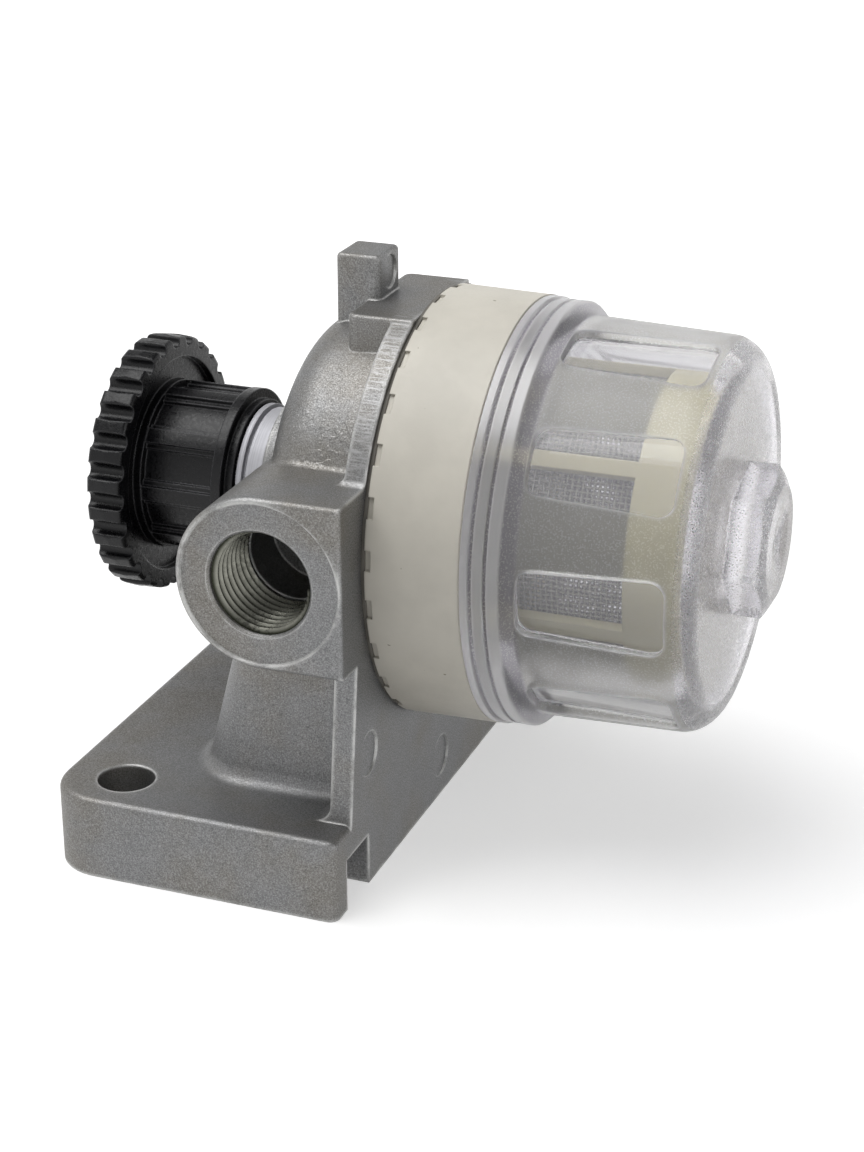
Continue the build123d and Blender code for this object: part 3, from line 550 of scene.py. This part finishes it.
def make_clear_plastic():
    """Bowl moulding: frosted outside, with clear window floors and a clear inside; its colour
    holds painted shade in the collar grooves and painted highlights on the collar ridges,
    outward corners and frost glints.
    """
    # groove, ridge, glint and corner tones are painted shade and painted highlights
    groove_shade_tone = (0.56, 0.53, 0.6, 1)
    ridge_highlight_tone = (1, 0.98, 1, 1)
    land_tone = (0.68, 0.67, 0.63, 1)
    end_tone = (0.92, 0.9, 0.95, 1)
    painted_glint_tone = (1, 1, 1, 1)
    window_tone = (0.93, 0.925, 0.95, 1)
    cloud_tone = (0.95, 0.95, 0.97, 1)
    corner_highlight_tone = (0.99, 0.99, 1, 1)

    material, tree, shader = new_material("clear plastic", (0.87, 0.86, 0.9), 0.1)
    shader.inputs["Transmission Weight"].default_value = 0.86
    shader.inputs["IOR"].default_value = 1.34
    shader.inputs["Coat Roughness"].default_value = 0.3
    shader.inputs["Coat IOR"].default_value = 1.8

    # where it is frosted: lands between the windows, and the end face
    place = object_place(tree)
    along = split_axes(tree, place)["X"]
    radius = distance_from_pump_axis(tree, place)
    land = ramp(tree, radius, window_floor_radius + 0.1 * MM, land_radius)
    end_face = ramp(tree, along, bowl_end_start, bowl_end_start + 0.6 * MM)
    frosted = math_node(tree, "MAXIMUM", land, end_face)
    collar = ramp(tree, along, collar_end + 1.0 * MM, collar_end)
    ridge = ramp(tree, radius, collar_groove_radius, collar_ridge_radius)
    sparkle = noise(tree, scale=3800, detail=1, roughness=0.5)
    cloud = noise(tree, scale=120, detail=3, roughness=0.6)
    corner = outward_corners(tree, 0.7 * MM)

    # collar: painted shade in the grooves, painted highlight on the ridges
    painted_collar_tone = mix_colour(tree, ridge, groove_shade_tone, ridge_highlight_tone)
    frost_tone = mix_colour(tree, end_face, land_tone, end_tone)
    frost_tone = mix_colour(tree, collar, frost_tone, painted_collar_tone)
    # painted glints on the frost
    frost_tone = mix_colour(tree, ramp(tree, sparkle, 0.54, 0.64), frost_tone, painted_glint_tone)
    tone = mix_colour(tree, frosted, window_tone, frost_tone)
    tone = mix_colour(tree, ramp(tree, cloud, 0.35, 0.7, 0, 0.2), tone, cloud_tone)
    # painted highlight on outward corners
    tone = mix_colour(tree, corner, tone, corner_highlight_tone)
    tree.links.new(tone, shader.inputs["Base Color"])

    # collar ridges have a sheen of their own, and the end face is clearer than the lands
    crest = multiply(tree, ridge, collar)
    tree.links.new(crest, shader.inputs["Coat Weight"])
    rough = ramp(tree, sparkle, 0.54, 0.64, 0.24, 0.5)
    rough = math_node(tree, "ADD", rough, multiply(tree, crest, 0.12))
    rough = multiply(tree, rough, frosted, ramp(tree, end_face, 0, 1, 1.0, 0.75))
    rough = math_node(tree, "ADD", rough, multiply(tree, corner, 0.3))
    rough = math_node(tree, "ADD", rough, 0.04)
    tree.links.new(rough, shader.inputs["Roughness"])

    normal, _ = soft_edges(tree, 0.5 * MM)
    height = multiply(tree, sparkle, frosted)
    normal = bump(tree, height, strength=0.05, distance=0.01 * MM, normal=normal)
    tree.links.new(normal, shader.inputs["Normal"])
    let_lamps_through(tree, shader, (0.86, 0.86, 0.88, 1))
    return material


def make_mesh_wire():
    """Strainer wire: its own tone on the outward crowns, darker below them as painted shade
    between the wires.
    """
    painted_shade_tone = (0.012, 0.012, 0.01, 1)
    crown_tone = (0.23, 0.225, 0.18, 1)
    shade_depth = 0.32 * MM
    crown_depth = 0.06 * MM
    material, tree, shader = new_material("mesh wire", (0.26, 0.26, 0.22), 0.55, 0.3)
    reach = distance_from_pump_axis(tree, object_place(tree))
    # painted shade on the wire below its crowns
    crown = ramp(tree, reach, mesh_radius - shade_depth, mesh_radius - crown_depth)
    tone = mix_colour(tree, crown, painted_shade_tone, crown_tone)
    tree.links.new(tone, shader.inputs["Base Color"])
    return material


def make_metal(name, base, roughness):
    """Small machined metal pieces, with faint stains."""
    material, tree, shader = new_material(name, base, roughness, 1.0)
    normal, _ = soft_edges(tree, 0.15 * MM)
    fine = noise(tree, scale=900, detail=3, roughness=0.6)
    darker = tuple(0.75 * c for c in base)
    tone = mix_colour(tree, fine, (*darker, 1), (*base, 1))
    tree.links.new(tone, shader.inputs["Base Color"])
    rough = ramp(tree, fine, 0.3, 0.7, roughness - 0.05, roughness + 0.1)
    tree.links.new(rough, shader.inputs["Roughness"])
    normal = bump(tree, fine, strength=0.1, distance=0.02 * MM, normal=normal)
    tree.links.new(normal, shader.inputs["Normal"])
    return material


cut_thread = make_cut_thread()
mesh_wire = make_mesh_wire()
steel = make_metal("steel", (0.6, 0.6, 0.6), 0.3)

finish_of_slot = {
    "cast_aluminium": make_cast_aluminium(),
    "turned_aluminium": make_turned_aluminium(),
    "cream_plastic": make_moulded(
        "cream plastic", (0.67, 0.64, 0.565), 0.5, speck=(0.3, 0.27, 0.2), grain=0.25
    ),
    "cage_plastic": make_moulded("cage plastic", (0.4, 0.37, 0.21), 0.5),
    "clear_plastic": make_clear_plastic(),
    "black_plastic": make_moulded(
        "black plastic",
        (0.003, 0.003, 0.004),
        0.32,
        grain=0.6,
        # edge colour: painted highlight on the knob's edges
        edge_highlight_tone=(0.07, 0.07, 0.075),
        edge_radius=0.4 * MM,
        gloss=0.3,
    ),
    "seal_rubber": make_moulded("seal rubber", (0.02, 0.02, 0.02), 0.6),
    "gasket_fibre": make_moulded("gasket fibre", (0.17, 0.16, 0.14), 0.8),
    "steel": steel,
    "bush_brass": make_metal("brass", (0.72, 0.5, 0.2), 0.3),
}
for subpart in frame["record"]["subparts"]:
    node = frame["nodes"][subpart["node"]]
    node.data.materials.clear()
    node.data.materials.append(finish_of_slot[subpart["material_slot"]])


# Pieces of their own
def make_port_thread(side):
    """Helical thread inside one port; side is -1 for the inlet and 1 for the outlet."""
    profile = [
        (thread_backing_radius, -thread_pitch / 2),
        (thread_root_radius, -thread_root_half_width),
        (thread_crest_radius, -thread_crest_half_width),
        (thread_crest_radius, thread_crest_half_width),
        (thread_root_radius, thread_root_half_width),
        (thread_backing_radius, thread_pitch / 2),
    ]
    deselect_all()
    bpy.ops.mesh.primitive_circle_add(
        vertices=len(profile), radius=thread_pitch, fill_type="NOTHING"
    )
    piece = bpy.context.object
    for vertex, (radius, height) in zip(piece.data.vertices, profile):
        vertex.co = (radius, 0, height)
    wind = piece.modifiers.new("wind", "SCREW")
    wind.axis = "Z"
    wind.iterations = thread_turns
    wind.screw_offset = thread_pitch
    wind.steps = thread_steps
    wind.render_steps = thread_steps
    apply_modifier(piece, wind)
    close_open_ends(piece, len(profile))
    piece.rotation_euler = (radians(90) * side, 0, 0)
    piece.location = (port_x, side * (thread_mouth_y - thread_pitch / 2), port_height)
    port = "inlet" if side < 0 else "outlet"
    finish_piece(piece, f"{port}_port_thread", cut_thread, "casting")


def make_straight_wire(phase):
    """Wire along the pump, in steps of half a hoop pitch, bent in and out at each hoop.

    The wire of phase 1 lies half a wire pitch round from that of phase 0 and bends the
    other way.
    """
    deselect_all()
    bpy.ops.mesh.primitive_cylinder_add(
        vertices=wire_sides, radius=wire_radius, depth=hoop_pitch / 2, end_fill_type="NOTHING"
    )
    wire = bpy.context.object
    wire.rotation_euler = (0, radians(90), 0)
    bpy.ops.object.transform_apply(rotation=True)
    repeat_along_pump(wire, hoop_pitch / 2, 2 * hoop_count, merge_ends=True)
    close_open_ends(wire, wire_sides)
    flip = -1 if phase else 1
    turn = phase * tau / (2 * wire_pair_count)
    for vertex in wire.data.vertices:
        along = vertex.co.x + hoop_pitch / 4
        station = round(along / (hoop_pitch / 2))
        bend = sin(tau * station / 4) if station % 2 else 0
        y = vertex.co.y
        z = vertex.co.z + weave_radius + flip * bend * wire_bend
        vertex.co.x = mesh_start + along
        vertex.co.y = y * cos(turn) - z * sin(turn)
        vertex.co.z = y * sin(turn) + z * cos(turn)
    return wire


def make_hoops(phase):
    """Every second hoop of the mesh, waved in and out as it passes the straight wires."""
    deselect_all()
    bpy.ops.mesh.primitive_torus_add(
        major_radius=weave_radius,
        minor_radius=wire_radius,
        major_segments=4 * wire_pair_count,
        minor_segments=wire_sides,
        location=(0, 0, 0),
    )
    hoop = bpy.context.object
    hoop.rotation_euler = (0, radians(90), 0)
    bpy.ops.object.transform_apply(rotation=True)
    flip = 1 if phase else -1
    for vertex in hoop.data.vertices:
        co = vertex.co
        reach = hypot(co.y, co.z)
        angle = Vector((co.z, co.y)).angle_signed(Vector((1, 0)))
        bend = flip * cos(angle * wire_pair_count)
        scale = (reach + bend * wire_bend) / reach
        co.y *= scale
        co.z *= scale
        co.x += mesh_start + hoop_pitch * (0.5 + phase)
    repeat_along_pump(hoop, 2 * hoop_pitch, hoop_count // 2)
    return hoop


def make_strainer_mesh():
    """Woven wire sleeve: straight wires along the pump and hoops around it, over and under."""
    sleeve = make_straight_wire(0)
    join_to(sleeve, [make_straight_wire(1)])
    bpy.ops.object.empty_add(location=(0, 0, 0))
    turn_marker = bpy.context.object
    turn_marker.rotation_euler = (tau / wire_pair_count, 0, 0)
    around = sleeve.modifiers.new("around", "ARRAY")
    around.use_relative_offset = False
    around.use_object_offset = True
    around.offset_object = turn_marker
    around.count = wire_pair_count
    apply_modifier(sleeve, around)
    bpy.data.objects.remove(turn_marker)
    join_to(sleeve, [make_hoops(0), make_hoops(1)])
    sleeve.location = (0, 0, axis_height)
    finish_piece(sleeve, "woven_mesh", mesh_wire, "casting", 60)
    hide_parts("strainer_mesh")


def make_valve_spring(valve, coil_radius, length, start, turn):
    """Coil spring of one valve; start is the centre of its first turn."""
    rise = length - 2 * spring_wire_radius
    deselect_all()
    bpy.ops.mesh.primitive_circle_add(
        vertices=spring_wire_sides,
        radius=spring_wire_radius,
        fill_type="NOTHING",
        rotation=(radians(90), 0, 0),
    )
    piece = bpy.context.object
    piece.location = (coil_radius, 0, 0)
    bpy.ops.object.transform_apply(location=True, rotation=True)
    wind = piece.modifiers.new("wind", "SCREW")
    wind.axis = "Z"
    wind.angle = tau * rise / spring_pitch
    wind.screw_offset = rise
    wind.steps = spring_steps
    wind.render_steps = spring_steps
    apply_modifier(piece, wind)
    close_open_ends(piece, spring_wire_sides)
    piece.rotation_euler = turn
    piece.location = start
    finish_piece(piece, f"{valve}_spring_coil", steel, "casting")
    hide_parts(f"{valve}_valve_spring")
    return piece


def make_valve_springs():
    """Springs of both valves, each as long as the plain spring it replaces."""
    low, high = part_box("suction_valve_spring")
    length = high[0] - low[0]
    start = (low[0] + spring_wire_radius, 0, axis_height)
    turn = (0, radians(90), 0)
    spring = make_valve_spring("suction", suction_coil_radius, length, start, turn)
    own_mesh(spring)

    low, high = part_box("delivery_valve_spring")
    length = high[1] - low[1]
    start = (port_x, low[1] + spring_wire_radius, port_height)
    turn = (radians(-90), 0, 0)
    spring = make_valve_spring("delivery", delivery_coil_radius, length, start, turn)
    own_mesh(spring)


make_port_thread(-1)
make_port_thread(1)
make_strainer_mesh()
make_valve_springs()


# Floor, background, lamps and camera
def background_share(tree):
    """1 for rays that should see plain white behind the pump, also through clear plastic."""
    path = add_node(tree, "ShaderNodeLightPath")
    seen = math_node(tree, "ADD", path.outputs["Is Camera Ray"], path.outputs["Is Glossy Ray"])
    seen = math_node(tree, "ADD", seen, path.outputs["Is Transmission Ray"], clamp=True)
    unscattered = math_node(tree, "LESS_THAN", path.outputs["Diffuse Depth"], 0.5)
    return multiply(tree, seen, unscattered)


def make_floor():
    deselect_all()
    bpy.ops.mesh.primitive_plane_add(size=floor_size, location=(0, 0, 0))
    floor = bpy.context.object
    floor.name = "floor"
    material, tree, shader = new_material("pale floor", (0.72, 0.72, 0.72), 0.9)
    shader.inputs["Emission Color"].default_value = (1, 1, 1, 1)
    reach = distance_from_line(tree, object_place(tree), centre=(0, 0, 0), keep=(1, 1, 0))
    white = ramp(tree, reach, near_floor, far_floor, near_floor_glow, far_floor_glow)
    glow = multiply(tree, background_share(tree), white)
    tree.links.new(glow, shader.inputs["Emission Strength"])
    floor.data.materials.append(material)


def make_room():
    """Rays that look at the room see a white wall and dim ceiling; others get its soft light."""
    world = bpy.data.worlds.new("studio")
    bpy.context.scene.world = world
    world.use_nodes = True
    tree = world.node_tree
    tree.nodes["Background"].inputs["Color"].default_value = (1, 1, 1, 1)
    direction = add_node(tree, "ShaderNodeTexCoord").outputs["Generated"]
    height = split_axes(tree, direction)["Z"]
    ceiling = ramp(tree, height, ceiling_begins, ceiling_full, 1.0, ceiling_strength)
    share = background_share(tree)
    seen = multiply(tree, share, ceiling)
    unseen = math_node(tree, "SUBTRACT", 1, share)
    strength = math_node(tree, "ADD", seen, multiply(tree, unseen, room_strength))
    tree.links.new(strength, tree.nodes["Background"].inputs["Strength"])


def add_lamp(name, place, size, power):
    """Square soft lamp that points at the pump."""
    bpy.ops.object.light_add(type="AREA", location=place)
    lamp = bpy.context.object
    lamp.name = name
    lamp.data.size = size
    lamp.data.energy = power
    lamp.rotation_euler = (camera_target - Vector(place)).to_track_quat("-Z", "Y").to_euler()


def make_camera():
    direction = Vector(
        (
            sin(camera_azimuth) * cos(camera_elevation),
            -cos(camera_azimuth) * cos(camera_elevation),
            sin(camera_elevation),
        )
    )
    bpy.ops.object.camera_add(location=camera_target + direction * camera_distance)
    camera = bpy.context.object
    camera.rotation_euler = (-direction).to_track_quat("-Z", "Y").to_euler()
    camera.data.lens = camera_lens
    camera.data.clip_start = camera_clip_start
    bpy.context.scene.camera = camera


make_floor()
make_room()
add_lamp("key lamp", (-0.25, -0.12, 0.86), size=0.7, power=7.2)
add_lamp("side lamp", (0.7, -0.3, 0.35), size=0.4, power=0.95)
make_camera()
bpy.context.scene.view_settings.view_transform = "Standard"
